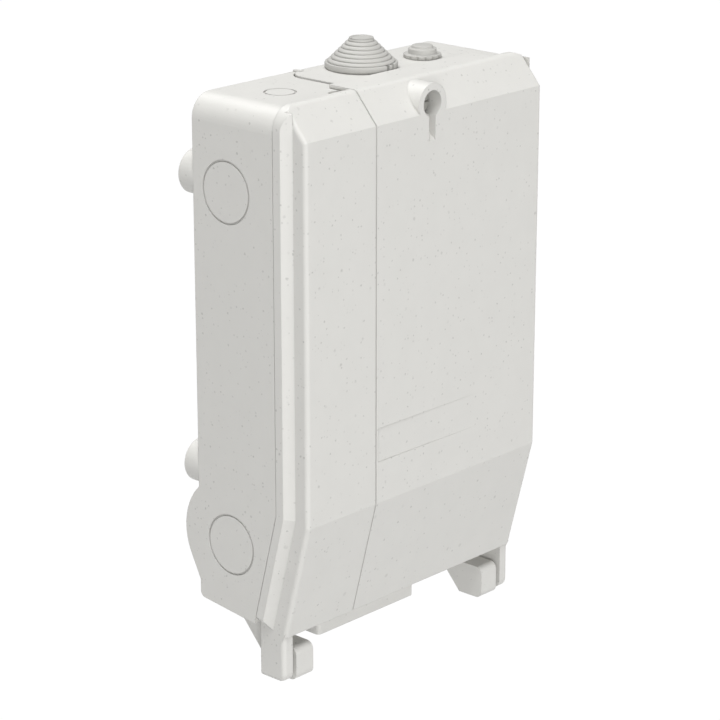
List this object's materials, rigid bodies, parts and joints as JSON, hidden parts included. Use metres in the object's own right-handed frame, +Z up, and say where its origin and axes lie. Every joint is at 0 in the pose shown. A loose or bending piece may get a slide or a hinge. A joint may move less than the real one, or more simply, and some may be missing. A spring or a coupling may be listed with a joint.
{
  "type": "service connection box",
  "caption": "Wall-hung service connection box of grey glass-fibre polyester with a bottom-hinged fused cover and membrane cable glands.",
  "frame": {"origin": "in the wall plane, in the middle of the four wall fixings", "axes": "+X to the right as seen from the front, +Y into the wall, +Z up"},
  "size_m": [0.232, 0.104, 0.3966],
  "materials": {
    "smc": "moulded glass-fibre polyester, light warm grey with small darker flecks",
    "gland": "soft grey membrane plastic",
    "seal_rubber": "black sealing rubber",
    "zinc_steel": "zinc plated",
    "stainless": "drawn stainless wire",
    "brass": "turned",
    "base_plastic": "black moulded thermoset",
    "plated_copper": "silver-plated copper",
    "steatite": "off-white steatite ceramic"
  },
  "bodies": {
    "housing": {"bottom_entry_seal": "seal_rubber", "cable_saddle": "zinc_steel", "clamp_screws": "zinc_steel", "entry_plate": "smc", "fixing_screws": "zinc_steel", "fuse_base": "base_plastic", "fuse_body_1": "steatite", "fuse_body_2": "steatite", "fuse_body_3": "steatite", "fuse_cap_1_lower": "plated_copper", "fuse_cap_1_upper": "plated_copper", "fuse_cap_2_lower": "plated_copper", "fuse_cap_2_upper": "plated_copper", "fuse_cap_3_lower": "plated_copper", "fuse_cap_3_upper": "plated_copper", "hinge_pin_left": "stainless", "hinge_pin_right": "stainless", "jaw_contact_1_lower": "plated_copper", "jaw_contact_1_upper": "plated_copper", "jaw_contact_2_lower": "plated_copper", "jaw_contact_2_upper": "plated_copper", "jaw_contact_3_lower": "plated_copper", "jaw_contact_3_upper": "plated_copper", "membrane_gland_large": "gland", "membrane_gland_small": "gland", "pen_bar": "plated_copper", "pen_clamp_1": "zinc_steel", "pen_clamp_2": "zinc_steel", "pen_clamp_3": "zinc_steel", "rear_housing": "smc", "screw_insert": "brass", "terminal_clamp_1_lower": "zinc_steel", "terminal_clamp_1_upper": "zinc_steel", "terminal_clamp_2_lower": "zinc_steel", "terminal_clamp_2_upper": "zinc_steel", "terminal_clamp_3_lower": "zinc_steel", "terminal_clamp_3_upper": "zinc_steel"},
    "cover": {"front_cover": "smc", "cover_gasket": "seal_rubber"},
    "washer": {"screw_washer": "zinc_steel"},
    "screw": {"cover_screw": "zinc_steel", "screw_clip": "zinc_steel"}
  },
  "joints": [
    {"name": "cover_hinge", "type": "hinge", "parent": "housing", "child": "cover", "pos_m": [0, -0.072, -0.216], "axis": [1, 0, 0], "range_deg": [0, 110]},
    {"name": "washer_slide", "type": "slide", "parent": "cover", "child": "washer", "axis": [0, -1, 0], "range_m": [0, 0.00625]},
    {"name": "screw_turn", "type": "hinge", "parent": "washer", "child": "screw", "pos_m": [0.0035, -0.09, 0.1362], "axis": [0, -1, 0], "range_deg": [0, 1800]}
  ],
  "couplings": [
    {"joint": "screw_turn", "follows": "washer_slide", "rad_per_m": 5026.5}
  ]
}
